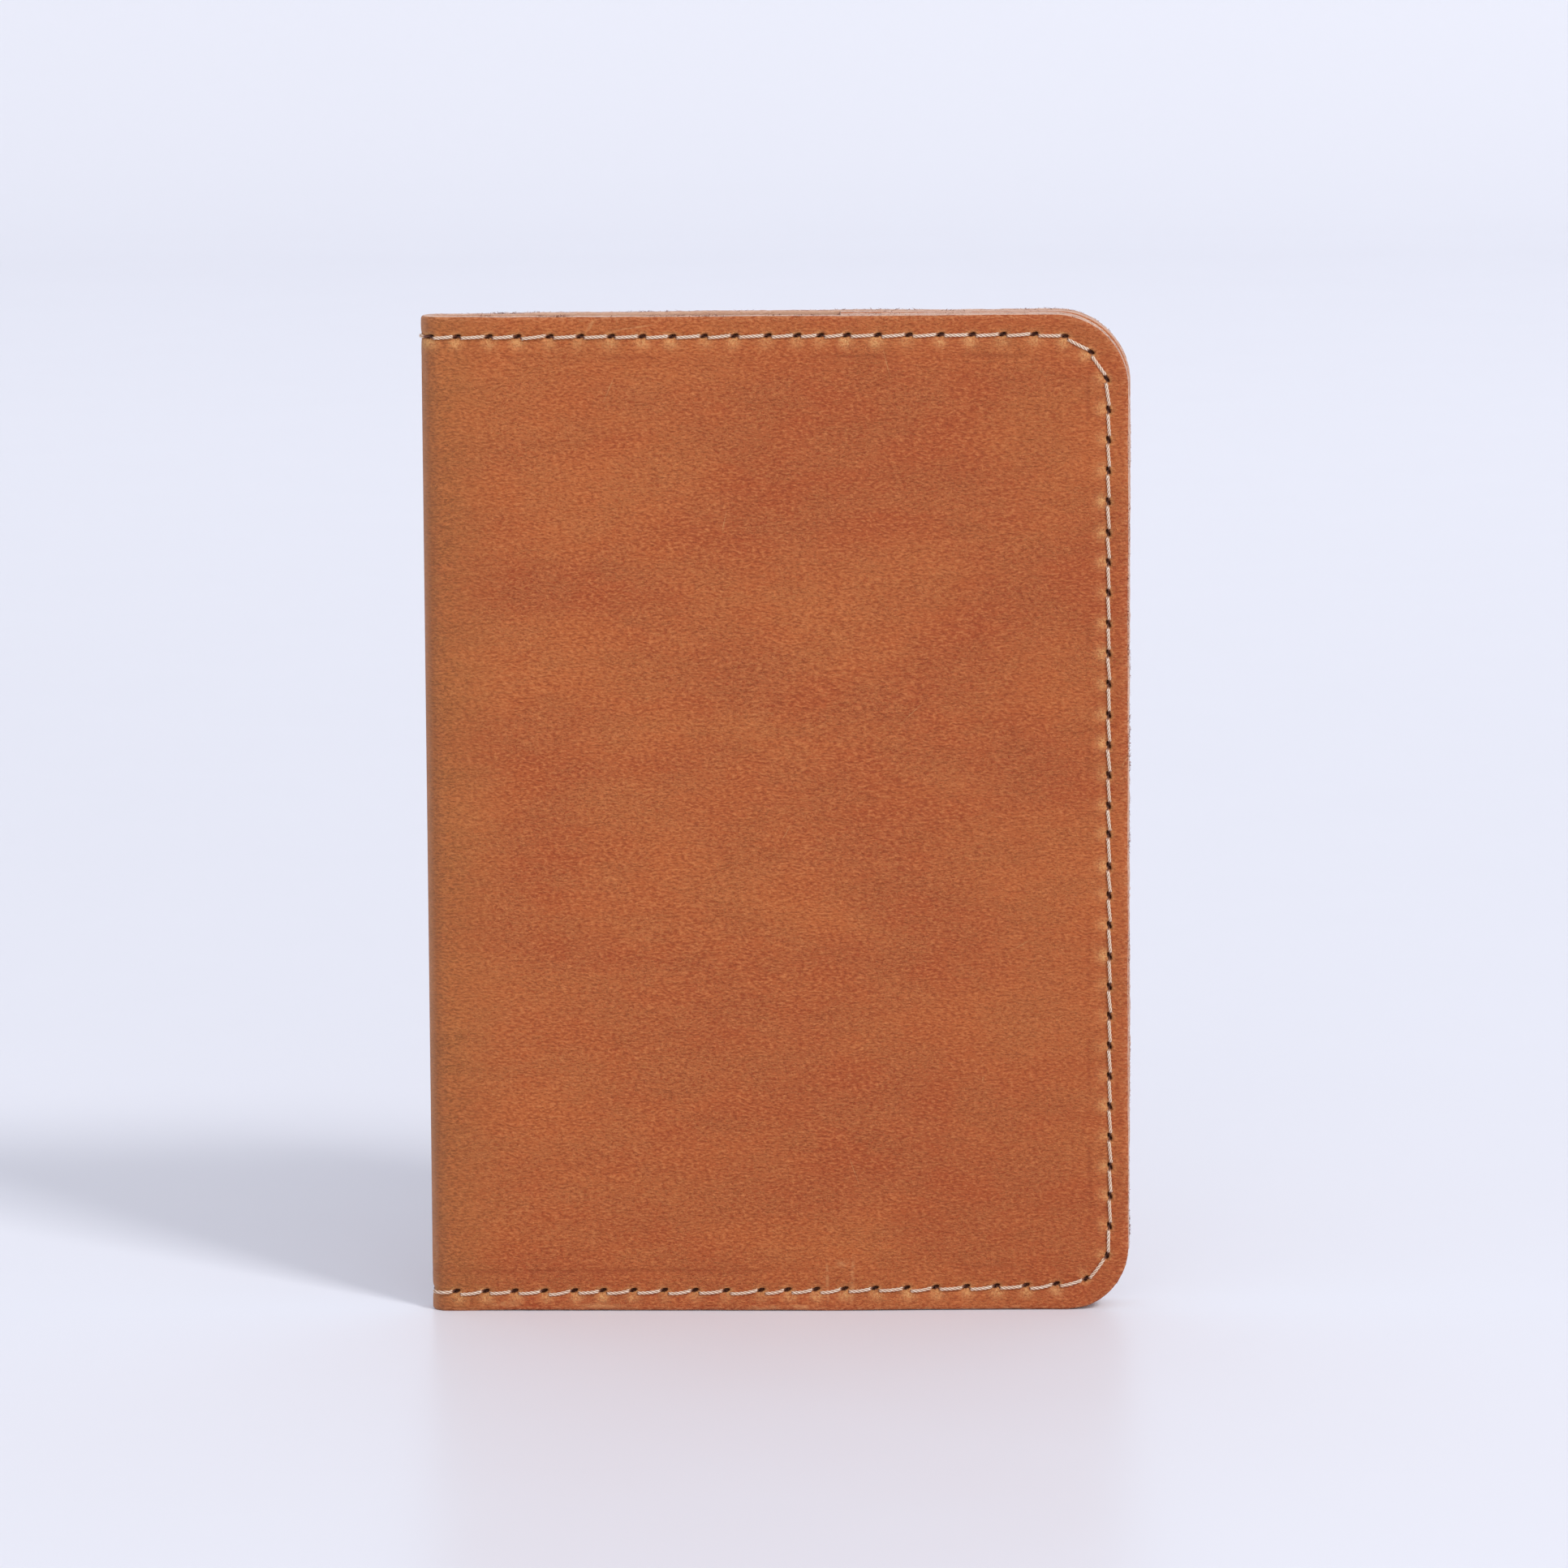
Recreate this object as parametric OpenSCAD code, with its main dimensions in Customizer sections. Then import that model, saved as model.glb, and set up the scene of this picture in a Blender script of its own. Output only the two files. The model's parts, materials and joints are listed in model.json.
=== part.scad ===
// Bifold leather card and document holder, standing closed on its lower edge.
// Units are millimetres. +Z is up, the front cover faces -Y and the fold is at -X.
// The origin is the middle of the closed case's footprint, on the surface it stands on.

/* [Case] */
// Width of the closed case, from the thread on the fold to the free edge
case_w = 98.4; // [80:0.2:120]
// Height of the case
case_h = 140; // [110:1:170]
// Thickness of every leather layer
leather_t = 1.6; // [1.2:0.1:2.0]
// Radius of the rounded top corner of each cover and flap
top_corner_r = 10.2; // [8:0.1:16]
// Radius of the rounded bottom corner of each cover and flap
bottom_corner_r = 8.8; // [8:0.1:16]
// Gap between the two covers where they leave the fold
fold_gap = 1.4; // [1.2:0.1:2.2]
// How far each layer's free edge stands past the layer in front of it
side_step = 0.15; // [0:0.05:0.3]
// How far each layer's top edge stands above the layer in front of it
top_step = 0.03; // [0:0.01:0.2]

/* [Sleeve flaps] */
// Width of the two sleeve flaps, from the free edge inwards
flap_w = 40; // [28:1:46]
// Gap between the two flaps in the closed case
inner_gap = 1.3; // [1.2:0.1:2]

/* [Stitching] */
// Distance of the stitch row from the cut edge
stitch_inset = 2.7; // [2.2:0.1:3.5]
// Length of one stitch
stitch_pitch = 4.25; // [3.5:0.05:5]
// Thickness of the thread on the outside
thread_d = 0.55; // [0.4:0.05:0.6]
// Thickness of the flattened thread on the inside
inner_thread_d = 0.4; // [0.3:0.05:0.45]

/* [Fold] */
// Half the angle that the stiff middle strip of the fold takes in
strip_half_angle = 60; // [45:1:62]

/* [Hidden] */
$fn = 96;
eps = 0.01;
half_fold = leather_t + fold_gap / 2;
half_edge = 2 * leather_t + inner_gap / 2;
fold_x = -case_w / 2 + thread_d + half_fold;
free_x = case_w / 2;
flap_x = free_x - flap_w;
flat_x = flap_x - 4;
panel_x = fold_x + 0.3;
slope = (half_edge - half_fold) / (flat_x - fold_x);
first_hole_a = 90 - 180 / PI * (stitch_pitch / half_fold) / 2;
first_hole_x = fold_x + stitch_pitch - half_fold * (first_hole_a * PI / 180);
front_step = 3;
front_flap_step = 2;
back_flap_step = 1;
back_step = 0;

leather_c = [0.70, 0.37, 0.22];
flap_c = [0.66, 0.35, 0.21];
thread_c = [0.87, 0.78, 0.66];

// Distance of a cover's outer face from the middle plane, at x
function outer_y(x) = x < flat_x ? half_fold + (x - fold_x) * slope : half_edge;

// Distance of the inner face that the stitches lie on from the middle plane, at x
function inner_y(x) = x < flap_x ? outer_y(x) - leather_t : half_edge - 2 * leather_t;

// Edge lines of a layer that stands back by n steps
function edge_x(n) = free_x - n * side_step;
function edge_z(n) = case_h - n * top_step;

// The stitch row: along the top, round both corners and back along the bottom
top_row_r = top_corner_r - stitch_inset;
bottom_row_r = bottom_corner_r - stitch_inset;
function row_top(n) = edge_x(n) - top_corner_r - first_hole_x;
function row_side(n) = edge_z(n) - top_corner_r - bottom_corner_r;
function row_bottom(n) = edge_x(n) - bottom_corner_r - first_hole_x;
function row_len(n) =
    row_top(n) + row_side(n) + row_bottom(n) + PI / 2 * (top_row_r + bottom_row_r);
function row_count(n) = round(row_len(n) / stitch_pitch);
function row_at(n, s) =
    let (a = row_top(n), q = PI / 2 * top_row_r, b = a + q,
         c = b + row_side(n), r = PI / 2 * bottom_row_r, d = c + r)
    s < a ? [first_hole_x + s, edge_z(n) - stitch_inset] :
    s < b ? [edge_x(n) - top_corner_r + top_row_r * sin((s - a) / q * 90),
             edge_z(n) - top_corner_r + top_row_r * cos((s - a) / q * 90)] :
    s < c ? [edge_x(n) - stitch_inset, edge_z(n) - top_corner_r - (s - b)] :
    s < d ? [edge_x(n) - bottom_corner_r + bottom_row_r * cos((s - c) / r * 90),
             bottom_corner_r - bottom_row_r * sin((s - c) / r * 90)] :
    [edge_x(n) - bottom_corner_r - (s - d), stitch_inset];

// A straight stretch of thread from a to b
module thread_bar(a, b, d) {
    v = b - a;
    l = norm(v);
    translate(a)
        rotate([0, acos(v[2] / l), atan2(v[1], v[0])])
            cylinder(h = l, d = d, $fn = 6);
}

// A cover or flap outline from x0 to the free edge, with rounded free corners, n steps back
module outline(x0, n) {
    x1 = edge_x(n);
    z1 = edge_z(n);
    union() {
        translate([x0, bottom_corner_r]) square([x1 - x0, z1 - top_corner_r - bottom_corner_r]);
        translate([x0, bottom_corner_r]) square([x1 - top_corner_r - x0, z1 - bottom_corner_r]);
        translate([x0, 0]) square([x1 - bottom_corner_r - x0, bottom_corner_r + 1]);
        translate([x1 - top_corner_r, z1 - top_corner_r]) circle(r = top_corner_r);
        translate([x1 - bottom_corner_r, bottom_corner_r]) circle(r = bottom_corner_r);
    }
}

// The outline as a block that is cut through along Y
module outline_block(x0, n, y0, y1) {
    translate([0, y1, 0])
        rotate([90, 0, 0])
            linear_extrude(height = y1 - y0)
                outline(x0, n);
}

// Plan of a cover: it leaves the fold at a slight angle, then lies parallel over its flap
module cover_plan(side) {
    polygon([
        [panel_x, side * outer_y(panel_x)],
        [flat_x, side * half_edge],
        [free_x + 1, side * half_edge],
        [free_x + 1, side * (half_edge - leather_t)],
        [flat_x, side * (half_edge - leather_t)],
        [panel_x, side * (outer_y(panel_x) - leather_t)]
    ]);
}

module cover(side, n) {
    intersection() {
        linear_extrude(height = case_h + 1) cover_plan(side);
        outline_block(panel_x, n, -half_edge - 1, half_edge + 1);
    }
}

module flap(side, n) {
    y0 = side < 0 ? -(half_edge - leather_t) : half_edge - 2 * leather_t;
    outline_block(flap_x, n, y0, y0 + leather_t);
}

// The stitches that lie on a cover's outer face
module outer_row(side, n) {
    count = row_count(n);
    step = row_len(n) / count;
    lift = thread_d / 2 + eps;
    for (i = [0 : count - 1]) {
        a = row_at(n, i * step + 0.35);
        b = row_at(n, (i + 1) * step - 0.35);
        thread_bar([a[0], side * (outer_y(a[0]) + lift), a[1]],
                   [b[0], side * (outer_y(b[0]) + lift), b[1]], thread_d);
    }
    // The short stretch between the fold and the first hole, top and bottom
    for (z = [edge_z(n) - stitch_inset, stitch_inset])
        thread_bar([panel_x + 0.2, side * (outer_y(panel_x + 0.2) + lift), z],
                   [first_hole_x - 0.35, side * (outer_y(first_hole_x - 0.35) + lift), z],
                   thread_d);
}

// The stitches that lie on the inner face: on the cover, then on its flap
module inner_row(side, n) {
    count = row_count(n);
    step = row_len(n) / count;
    lift = inner_thread_d / 2 + eps;
    for (i = [0 : count - 1]) {
        a0 = row_at(n, i * step + 0.35);
        b0 = row_at(n, (i + 1) * step - 0.35);
        // A stitch that crosses the flap's edge is drawn on the flap only
        a = [a0[0] < flap_x && b0[0] > flap_x ? flap_x + 0.3 : a0[0], a0[1]];
        b = [b0[0] < flap_x && a0[0] > flap_x ? flap_x + 0.3 : b0[0], b0[1]];
        if (norm(b - a) > 0.8)
            thread_bar([a[0], side * (inner_y(a[0]) - lift), a[1]],
                       [b[0], side * (inner_y(b[0]) - lift), b[1]], inner_thread_d);
    }
}

// The one stitch at each end that wraps round the fold
module fold_stitch(r0, r1, z) {
    a = strip_half_angle - 10;
    translate([fold_x, 0, z])
        rotate([0, 0, 180 - a])
            rotate_extrude(angle = 2 * a)
                translate([r0, -(r1 - r0) / 2]) square([r1 - r0, r1 - r0]);
}

module front_cover() {
    color(leather_c) cover(-1, front_step);
}

module back_cover() {
    color(leather_c) cover(1, back_step);
}

module spine() {
    color(leather_c)
        translate([fold_x, 0, 0])
            rotate([0, 0, 180 - strip_half_angle])
                rotate_extrude(angle = 2 * strip_half_angle)
                    translate([half_fold - leather_t, 0]) square([leather_t, case_h]);
}

module front_flap() {
    color(flap_c) flap(-1, front_flap_step);
}

module back_flap() {
    color(flap_c) flap(1, back_flap_step);
}

module front_stitches_outside() {
    color(thread_c) outer_row(-1, front_step);
}

module front_stitches_inside() {
    color(thread_c) inner_row(-1, front_step);
}

module back_stitches_outside() {
    color(thread_c) outer_row(1, back_step);
}

module back_stitches_inside() {
    color(thread_c) inner_row(1, back_step);
}

module spine_stitch_top() {
    color(thread_c)
        fold_stitch(half_fold + eps, half_fold + thread_d, case_h - stitch_inset);
}

module spine_stitch_bottom() {
    color(thread_c)
        fold_stitch(half_fold + eps, half_fold + thread_d, stitch_inset);
}

module spine_stitch_top_inside() {
    color(thread_c)
        fold_stitch(fold_gap / 2 - inner_thread_d, fold_gap / 2 - eps, case_h - stitch_inset);
}

module spine_stitch_bottom_inside() {
    color(thread_c)
        fold_stitch(fold_gap / 2 - inner_thread_d, fold_gap / 2 - eps, stitch_inset);
}

front_cover();
spine();
back_cover();
front_flap();
back_flap();
front_stitches_outside();
front_stitches_inside();
back_stitches_outside();
back_stitches_inside();
spine_stitch_top();
spine_stitch_bottom();
spine_stitch_top_inside();
spine_stitch_bottom_inside();
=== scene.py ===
import json
import math

import bpy
import numpy as np
from mathutils import Matrix, Vector
from mathutils.geometry import delaunay_2d_cdt


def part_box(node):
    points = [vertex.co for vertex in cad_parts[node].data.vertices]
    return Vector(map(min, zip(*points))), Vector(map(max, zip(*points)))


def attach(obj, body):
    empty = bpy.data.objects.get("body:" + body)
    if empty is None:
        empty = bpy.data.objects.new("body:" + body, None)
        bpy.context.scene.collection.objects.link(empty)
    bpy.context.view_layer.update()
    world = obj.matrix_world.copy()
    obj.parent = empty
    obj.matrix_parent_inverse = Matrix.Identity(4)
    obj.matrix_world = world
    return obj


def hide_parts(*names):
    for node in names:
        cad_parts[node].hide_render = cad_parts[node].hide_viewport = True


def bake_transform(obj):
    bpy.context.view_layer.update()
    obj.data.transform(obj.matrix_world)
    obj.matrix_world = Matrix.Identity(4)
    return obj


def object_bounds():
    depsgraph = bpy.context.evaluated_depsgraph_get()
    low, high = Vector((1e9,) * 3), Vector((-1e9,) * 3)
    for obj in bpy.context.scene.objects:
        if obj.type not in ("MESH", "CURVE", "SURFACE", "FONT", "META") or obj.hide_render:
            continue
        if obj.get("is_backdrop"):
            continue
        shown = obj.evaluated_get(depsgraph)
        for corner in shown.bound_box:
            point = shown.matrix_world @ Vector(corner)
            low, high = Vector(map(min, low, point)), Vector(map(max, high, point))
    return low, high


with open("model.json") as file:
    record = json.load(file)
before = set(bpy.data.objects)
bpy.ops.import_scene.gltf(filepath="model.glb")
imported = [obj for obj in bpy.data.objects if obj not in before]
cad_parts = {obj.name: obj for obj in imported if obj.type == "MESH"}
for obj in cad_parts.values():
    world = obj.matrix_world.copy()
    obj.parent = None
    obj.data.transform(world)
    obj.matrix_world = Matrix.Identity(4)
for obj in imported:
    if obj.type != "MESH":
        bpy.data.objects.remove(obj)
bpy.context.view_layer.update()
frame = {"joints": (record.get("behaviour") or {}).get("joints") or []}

# Every length here is in mm unless it says otherwise, and MM turns it into Blender's metres.
# ---------------------------------------------------------------- sizes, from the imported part
MM = 0.001
LEATHER = 1.6  # thickness of every leather layer, as in part.scad
TOP_CORNER, BOTTOM_CORNER = 10.2, 8.8  # corner radii of the covers, as in part.scad
PITCH = 4.25  # one stitch
ROW_INSET = 2.7  # nominal distance of the stitch row from the cut edge
SLEEVE_RUN = 4.0  # the covers lie parallel from this far before the flap
BEND_BLEND = 0.24  # how softly a cover's slope runs into its parallel stretch
FLAP_BOW, FLAP_BOW_RUN = 0.30, 26  # how far a flap's free edge stands off its cover, and over what width
CASE_H = 140  # height of the case, as in part.scad
NOISE_CELLS = 128  # size of the noise table
FAR = 9.0  # stands for "far from the edge and the row" in the masks
EDGE_ROWS = 9  # mesh rows through the thickness of a cut edge
SLIT_LEAN = math.radians(20)  # how far the needle's slits lean
PLY_TURN = 1.8  # length of one turn of the thread's plies
FIBRES = {"cover": 1500, "flap": 800}  # loose fibres tried on each cut edge


def box_mm(node):
    lo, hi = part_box(node)
    return np.array(lo) / MM, np.array(hi) / MM


hinge = {j["name"]: j for j in frame["joints"]}["front_bend"]["pos_m"]
BEND = abs(hinge[1]) / MM * 4 / math.pi  # centre-line radius of the fold
FOLD_X = (hinge[0] + abs(hinge[1])) / MM  # the covers leave the fold here
R_OUT = BEND + LEATHER / 2
ARC = BEND * math.pi / 2
HALF_EDGE = -box_mm("front_cover")[0][1]
FLAP_X = box_mm("front_flap")[0][0]
FLAP_IN = -box_mm("front_flap")[1][1]
FLAT_X = FLAP_X - SLEEVE_RUN
SLOPE = (HALF_EDGE - R_OUT) / (FLAT_X - FOLD_X)
Z_FOLD = (box_mm("front_cover")[1][2] + box_mm("back_cover")[1][2]) / 2


def smooth(t):
    t = np.clip(t, 0.0, 1.0)
    return t * t * (3 - 2 * t)


def bump(d, width):
    return np.exp(-((d / width) ** 2))


def noise(x, y, size, seed):
    """Smooth value noise from -1 to 1, with features about size mm across."""
    n = NOISE_CELLS
    table = np.random.default_rng(seed).random((n, n)) * 2 - 1
    x, y = np.asarray(x, float) / size + 40.3, np.asarray(y, float) / size + 17.7
    ix, iy = np.floor(x).astype(int), np.floor(y).astype(int)
    tx, ty = smooth(x - ix), smooth(y - iy)
    a = table[ix % n, iy % n] * (1 - tx) + table[(ix + 1) % n, iy % n] * tx
    b = table[ix % n, (iy + 1) % n] * (1 - tx) + table[(ix + 1) % n, (iy + 1) % n] * tx
    return a * (1 - ty) + b * ty


def noise_along(s, size, seed):
    """The same noise along one line."""
    return noise(s, 0 * np.asarray(s, float), size, seed)


def outer_y(x):
    """Distance of a cover's outer face from the middle plane."""
    s = np.maximum(x - FOLD_X, 0.0)
    a = R_OUT + SLOPE * (s - 2 * (1 - np.exp(-s / 2)))
    k = BEND_BLEND
    h = np.clip(0.5 + 0.5 * (HALF_EDGE - a) / k, 0, 1)
    return HALF_EDGE * (1 - h) + a * h - k * h * (1 - h)


def fold_up(flat, side):
    """Flat leather to the closed case.

    u runs along the leather from the middle of the fold, w is the depth under the outer face.
    """
    u, w, z = flat.T
    a = np.clip(u / BEND, 0, math.pi / 2)
    r = R_OUT - w
    s = np.maximum(u - ARC, 0.0)
    x = FOLD_X - r * np.cos(a) + s
    y = r * np.sin(a) + outer_y(FOLD_X + s) - R_OUT
    return np.stack([x, side * y, z], 1)


def flap_bow(x, z):
    """How far a flap's free edge stands off its cover."""
    near_edge = np.clip(1 - (x - FLAP_X) / FLAP_BOW_RUN, 0, 1) ** 2
    return FLAP_BOW * near_edge * np.sin(np.clip(z / CASE_H, 0, 1) * math.pi) ** 1.5


# ---------------------------------------------------------------- one cover's outline and stitch row
# share of the row's length, and how far the row lies from the cut edge there
ROW_PATH = [
    (0, 2.80), (0.27, 2.62), (0.31, 2.70), (0.36, 2.74), (0.5, 2.66), (0.66, 2.48), (0.694, 2.60),
    (0.709, 3.1), (0.724, 3.7), (0.737, 3.5), (0.78, 3.3), (0.865, 2.95), (1.0, 2.80),
]
# stitch lengths from the fold to the top corner, and from the bottom corner back to the fold
TOP_STITCHES = [4.26] * 11 + [3.26, 3.6] + [4.29] * 7 + [4.4] * 3
FOOT_STITCHES = [4.36, 4.9, 4.7] + [4.23] * 7 + [4.13, 3.88, 3.8, 4.77, 4.56] + [4.23] * 4 + [4.1] * 4


class Cover:
    """The outline of one cover in flat leather, with its stitch row. s counts along the row."""

    def __init__(self, side, node, seed):
        hi = box_mm(node)[1]
        self.side, self.seed = side, seed
        self.u1 = ARC + hi[0] - FOLD_X
        self.z1 = hi[2]
        self.top, self.foot = self.u1 - TOP_CORNER, self.u1 - BOTTOM_CORNER
        self.arcs = [math.pi / 2 * (r - ROW_INSET) for r in (TOP_CORNER, BOTTOM_CORNER)]
        self.tall = self.z1 - TOP_CORNER - BOTTOM_CORNER
        self.length = self.top + self.foot + sum(self.arcs) + self.tall
        self.holes = self.make_holes()

    def z_top(self, u):
        return self.z1 + (Z_FOLD - self.z1) * smooth(1 - np.asarray(u, float) / 15)

    def corner_share(self, s):
        """0 on the straight runs and 1 in the middle of a corner."""
        a = (s - self.top) / self.arcs[0]
        b = (s - self.top - self.arcs[0] - self.tall) / self.arcs[1]
        both = np.where((a > 0) & (a < 1), a, np.where((b > 0) & (b < 1), b, 0.0))
        return np.sin(both * math.pi)

    def inset(self, s):
        """Distance of the stitch row from the cut edge: it was guided by hand, so it wanders."""
        share, far = zip(*ROW_PATH)
        ends = smooth(s / 4) * smooth((self.length - s) / 4)
        wander = 0.05 * noise_along(s, 9.0, self.seed + 1) * ends
        return np.interp(s, np.array(share) * self.length, far) + 0.36 * self.corner_share(s) + wander

    def frame(self, s):
        """Outline point and inward normal for each s."""
        s = np.asarray(s, float)
        a, b = self.top, self.top + self.arcs[0]
        c = b + self.tall
        d = c + self.arcs[1]
        p, n = np.zeros((len(s), 2)), np.zeros((len(s), 2))
        m = s <= a
        p[m], n[m] = np.stack([s[m], self.z_top(s[m])], 1), (0, -1)
        m = (s > a) & (s <= b)
        t = (s[m] - a) / (b - a) * math.pi / 2
        ring = np.stack([np.sin(t), np.cos(t)], 1)
        p[m], n[m] = ring * TOP_CORNER + (self.u1 - TOP_CORNER, self.z1 - TOP_CORNER), -ring
        m = (s > b) & (s <= c)
        p[m] = np.stack([np.full(m.sum(), self.u1), self.z1 - TOP_CORNER - (s[m] - b)], 1)
        n[m] = (-1, 0)
        m = (s > c) & (s <= d)
        t = (s[m] - c) / (d - c) * math.pi / 2
        ring = np.stack([np.cos(t), -np.sin(t)], 1)
        p[m], n[m] = ring * BOTTOM_CORNER + (self.u1 - BOTTOM_CORNER, BOTTOM_CORNER), -ring
        m = s > d
        p[m] = np.stack([self.foot - (s[m] - d), np.zeros(m.sum())], 1)
        n[m] = (0, 1)
        return p, n

    def make_holes(self):
        """Row positions of the needle holes. The stitches run short where the foot climbs onto the flap."""
        first = PITCH / 2 / R_OUT * BEND
        second, last = ARC + 2.65, self.length - 3.4
        rest = last - second - sum(TOP_STITCHES) - sum(FOOT_STITCHES)
        n = round(rest / PITCH)
        steps = np.array(TOP_STITCHES + [rest / n] * n + FOOT_STITCHES)
        holes = second + np.cumsum(steps)
        holes[:-1] += np.random.default_rng(self.seed).normal(0, 0.07, len(holes) - 1)
        return np.concatenate([[first, second], holes, [self.length]])

    def columns(self, s_from):
        """Mesh columns along the row, close together at each hole."""
        out = [0.0, 0.3, 0.6, 0.9]
        steps = np.array([0.0, 0.14, 0.28, 0.42, 0.56, 0.74, 1.0, 1.45])
        for a, b in zip(self.holes[:-1], self.holes[1:]):
            near = steps[steps < (b - a) / 2 - 0.2]
            out += list(a + near) + [(a + b) / 2] + list(b - near[:0:-1])
        out += [self.length]
        out = np.unique(np.round(out, 5))
        if not s_from:
            return out
        keep = out[(out > s_from + 0.5) & (out < self.length - s_from - 0.5)]
        ends = np.array([0.0, 0.1, 0.22, 0.36])
        return np.concatenate([s_from + ends, keep, self.length - s_from - ends[::-1]])

    def row_point(self, s):
        p, n = self.frame(s)
        return p + n * self.inset(s)[:, None], n

    def from_hole(self, s):
        """Signed distance along the row from the nearest hole."""
        gap = np.asarray(s)[:, None] - self.holes[None, :]
        return gap[np.arange(len(gap)), np.abs(gap).argmin(1)]


# ---------------------------------------------------------------- panel meshes
# mesh rows between the cut edge and the stitch row, as shares, and beyond the row
LEVELS = np.array([0, 0.035, 0.09, 0.17, 0.3, 0.46, 0.62, 0.74, 0.82, 0.88, 0.92, 0.96, 1.0])
BEYOND = np.array([0.11, 0.23, 0.38, 0.6, 0.9, 1.3, 1.8, 2.4, 2.9, 3.3, 4.2])


def panel_grid(cover, u_left, grow, spacing):
    """One face in flat leather: a fine strip along the cut edge and a triangulated middle."""
    s = cover.columns(u_left)
    p, n = cover.frame(s)
    inset = cover.inset(s)
    side = smooth((s - cover.top) / cover.arcs[0]) * smooth((cover.length - cover.foot - s) / cover.arcs[1])
    spread = grow[0] + (grow[1] - grow[0]) * side
    spread = np.where(s > cover.length / 2, np.minimum(spread, grow[1] * side), spread)
    depth = np.concatenate([LEVELS[None, :] * inset[:, None], inset[:, None] + BEYOND[None, :]], 1)
    shift = spread[:, None] * np.clip(1 - depth / inset[:, None], 0, 1)
    pts = p[:, None, :] + n[:, None, :] * (depth - shift)[..., None]
    cols, rows = depth.shape
    idx = np.arange(cols * rows).reshape(cols, rows)
    quads = np.stack([idx[:-1, :-1], idx[:-1, 1:], idx[1:, 1:], idx[1:, :-1]], -1).reshape(-1, 4)
    row_d = depth - inset[:, None]
    hole_d = np.repeat(cover.from_hole(s)[:, None], rows, 1)
    # the middle
    rim = idx[:, -1]
    lo_z, hi_z = pts[-1, -1, 1], pts[0, -1, 1]
    nz = int((hi_z - lo_z) / spacing)
    zs = np.linspace(lo_z, hi_z, nz + 1)[1:-1]
    left = np.stack([np.full(len(zs), pts[0, -1, 0]), zs], 1)
    near = np.array([0.1, 0.22, 0.36, 0.8] if u_left else [0.3, 0.6, 0.9, 1.2, 1.5, 1.8, 2.1, 2.4, 2.9, 3.5])
    far = np.arange(near[-1] + spacing * 0.7, cover.u1 - u_left, spacing)
    gu = u_left + np.concatenate([near, far])
    uu, zz = np.meshgrid(gu, zs, indexing="ij")
    zz = zz + np.where((np.arange(len(gu)) % 2)[:, None] & (uu > u_left + 4), spacing * 0.5, 0.0)
    # keep points inside the strip's inner outline, clear of it
    deep = float((inset + BEYOND[-1]).max()) + spacing * 0.5
    inside = (uu < cover.u1 - deep) & (zz > deep) & (zz < cover.z1 - deep)
    for radius, cz, up in ((BOTTOM_CORNER, BOTTOM_CORNER, -1), (TOP_CORNER, cover.z1 - TOP_CORNER, 1)):
        cu = cover.u1 - radius
        corner = (uu > cu) & ((zz - cz) * up > 0)
        inside &= ~(corner & (np.hypot(uu - cu, zz - cz) > max(radius - deep, 0.1)))
    middle = np.stack([uu[inside], zz[inside]], 1)
    flat = pts.reshape(-1, 2)
    coords = [Vector((float(a), float(b))) for a, b in np.concatenate([pts[:, -1], left, middle])]
    loop = list(range(cols + len(left)))
    _, _, f, orig, _, _ = delaunay_2d_cdt(coords, [], [loop], 1, 1e-7)
    extra = len(left) + len(middle)
    to_all = np.concatenate([rim, cols * rows + np.arange(extra)])
    tris = [[int(to_all[orig[i][0]]) for i in face] for face in f]
    flat = np.concatenate([flat, left, middle])
    edge_d, row_d, hole_d = (np.concatenate([d.ravel(), np.full(extra, FAR)]) for d in (depth, row_d, hole_d))
    ring = list(idx[:, 0])
    if u_left:
        # down the free edge of a flap: last column inwards, the left points, first column outwards
        ring += list(idx[-1, 1:]) + [cols * rows + i for i in range(len(left))] + list(idx[0, ::-1][:-1])
    # every face counter-clockwise in (u, z)
    faces = []
    for q in list(map(list, quads)) + tris:
        a = flat[q]
        area = np.sum(a[:, 0] * np.roll(a[:, 1], -1) - np.roll(a[:, 0], -1) * a[:, 1])
        faces.append(q if area > 0 else q[::-1])
    s_all = np.concatenate([np.repeat(s, rows), np.full(extra, -1.0)])
    return {"flat": flat, "faces": faces, "ring": ring, "closed": bool(u_left), "edge": edge_d, "row": row_d,
            "hole": hole_d, "s": s_all, "low": s_all > cover.length - cover.foot - 2}


def hole_shape(g):
    """The slanted slit that the needle cuts at each hole, and the dimple that the thread pulls round it."""
    along = g["hole"] * math.cos(SLIT_LEAN) - g["row"] * math.sin(SLIT_LEAN)
    across = g["hole"] * math.sin(SLIT_LEAN) + g["row"] * math.cos(SLIT_LEAN)
    slit = smooth(1.9 - 1.3 * np.hypot(along / 0.52, across / 0.25))
    dimple = bump(np.hypot(along / 0.95, across / 0.6), 1.0)
    return slit, dimple


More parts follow.
